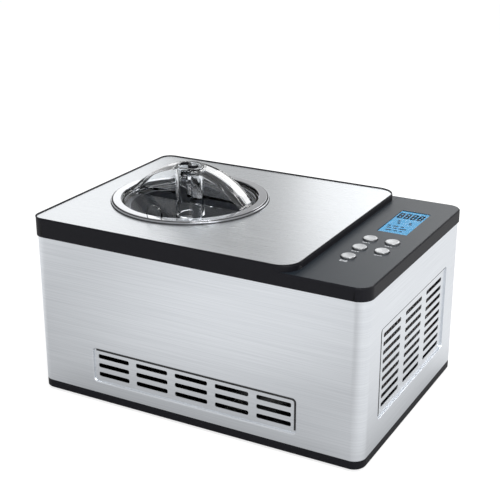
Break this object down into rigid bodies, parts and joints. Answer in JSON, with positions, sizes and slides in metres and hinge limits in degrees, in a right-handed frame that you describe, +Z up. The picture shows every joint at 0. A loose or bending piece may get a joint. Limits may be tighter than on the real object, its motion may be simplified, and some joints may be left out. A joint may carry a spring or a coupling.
{
  "type": "compressor ice cream maker",
  "caption": "Countertop compressor ice cream maker: steel box with grilles, clear ridged lid over a round bowl and paddle, side panel with backlit display and buttons.",
  "frame": {"origin": "on the table under the middle of the case", "axes": "+X along the long front side to the control panel, +Y to the back, +Z up"},
  "size_m": [0.403, 0.281, 0.2515],
  "materials": {
    "brushed_steel": "brushed",
    "black_plastic": "fine texture",
    "overlay_plastic": "satin",
    "chrome_ring": "polished",
    "clear_plastic": "clear",
    "silver_button": "satin",
    "display_blue": "backlit",
    "backlight_white": "diffuse",
    "circuit_board": "solder mask",
    "black_component": "moulded",
    "black_rubber": "matte",
    "grey_rubber": "matte",
    "dark_bowl": "anodised",
    "dark_paddle": "moulded",
    "bare_aluminium": "satin",
    "insulation_foam": "foamed",
    "copper_tube": "drawn",
    "steel": "machined",
    "bronze_bush": "sintered",
    "white_nylon": "moulded",
    "grey_motor": "painted",
    "black_compressor": "gloss enamel"
  },
  "bodies": {
    "housing": {"base_tray": "black_plastic", "rubber_feet": "black_rubber", "housing_wrap": "brushed_steel", "rear_panel": "brushed_steel", "rear_screws": "steel", "cord_gland": "black_plastic", "top_bezel": "black_plastic", "top_plate": "brushed_steel", "opening_ring": "chrome_ring", "control_overlay": "overlay_plastic", "display_lens": "clear_plastic", "lcd_panel": "display_blue", "lcd_backlight": "backlight_white", "control_board": "circuit_board", "push_switches": "black_component", "cooling_well": "bare_aluminium", "well_gasket": "grey_rubber", "insulation_jacket": "insulation_foam", "evaporator_coil": "copper_tube", "well_bushing": "bronze_bush", "gearbox_plate": "steel", "gearbox_cover": "black_plastic", "gearbox_bushing": "bronze_bush", "intermediate_pin": "steel", "gearbox_screws": "steel", "drive_motor": "grey_motor", "compressor": "black_compressor", "compressor_plate": "steel", "compressor_grommets": "black_rubber", "condenser_coil": "copper_tube", "condenser_fins": "bare_aluminium", "condenser_brackets": "steel", "suction_line": "copper_tube", "discharge_line": "copper_tube", "filter_drier": "copper_tube", "capillary_tube": "copper_tube", "fan_shroud": "black_plastic", "fan_motor": "grey_motor", "power_board": "circuit_board", "power_parts": "black_component"},
    "bowl": {"mixing_bowl": "dark_bowl"},
    "paddle": {"paddle": "dark_paddle"},
    "lid": {"lid": "clear_plastic", "lid_seal": "grey_rubber"},
    "filler_cap": {"filler_cap": "clear_plastic", "cap_grip": "black_component"},
    "mode_button": {"mode_button": "silver_button"},
    "timer_button": {"timer_button": "silver_button"},
    "plus_button": {"plus_button": "silver_button"},
    "minus_button": {"minus_button": "silver_button"},
    "start_button": {"start_button": "silver_button"},
    "drive_shaft": {"drive_shaft": "steel", "output_gear": "white_nylon"},
    "intermediate_gear": {"intermediate_gear": "white_nylon"},
    "motor_rotor": {"motor_shaft": "steel", "motor_pinion": "bronze_bush"},
    "condenser_fan": {"condenser_fan": "black_plastic"}
  },
  "joints": [
    {"name": "bowl_lift", "type": "slide", "parent": "housing", "child": "bowl", "axis": [0, 0, 1], "range_m": [0, 0.13]},
    {"name": "lid_lift", "type": "slide", "parent": "bowl", "child": "lid", "axis": [0, 0, 1], "range_m": [0, 0.06]},
    {"name": "cap_lift", "type": "slide", "parent": "lid", "child": "filler_cap", "axis": [0, 0, 1], "range_m": [0, 0.03]},
    {"name": "drive_spin", "type": "hinge", "parent": "housing", "child": "drive_shaft", "pos_m": [-0.08, 0, 0.1], "axis": [0, 0, 1], "continuous": true},
    {"name": "middle_spin", "type": "hinge", "parent": "housing", "child": "intermediate_gear", "pos_m": [-0.114, 0, 0.065], "axis": [0, 0, 1], "continuous": true},
    {"name": "motor_spin", "type": "hinge", "parent": "housing", "child": "motor_rotor", "pos_m": [-0.148, 0, 0.06], "axis": [0, 0, 1], "continuous": true},
    {"name": "paddle_spin", "type": "hinge", "parent": "bowl", "child": "paddle", "pos_m": [-0.08, 0, 0.14], "axis": [0, 0, 1], "continuous": true},
    {"name": "fan_spin", "type": "hinge", "parent": "housing", "child": "condenser_fan", "pos_m": [0.15, 0, 0.093], "axis": [1, 0, 0], "continuous": true},
    {"name": "mode_press", "type": "slide", "parent": "housing", "child": "mode_button", "axis": [0, 0, -1], "range_m": [0, 0.0012], "stiffness_N_per_m": 900},
    {"name": "timer_press", "type": "slide", "parent": "housing", "child": "timer_button", "axis": [0, 0, -1], "range_m": [0, 0.0012], "stiffness_N_per_m": 900},
    {"name": "plus_press", "type": "slide", "parent": "housing", "child": "plus_button", "axis": [0, 0, -1], "range_m": [0, 0.0012], "stiffness_N_per_m": 900},
    {"name": "minus_press", "type": "slide", "parent": "housing", "child": "minus_button", "axis": [0, 0, -1], "range_m": [0, 0.0012], "stiffness_N_per_m": 900},
    {"name": "start_press", "type": "slide", "parent": "housing", "child": "start_button", "axis": [0, 0, -1], "range_m": [0, 0.0012], "stiffness_N_per_m": 900}
  ],
  "couplings": [
    {"joint": "middle_spin", "follows": "drive_spin", "ratio": -4},
    {"joint": "motor_spin", "follows": "drive_spin", "ratio": 16},
    {"joint": "paddle_spin", "follows": "drive_spin", "ratio": 1}
  ]
}
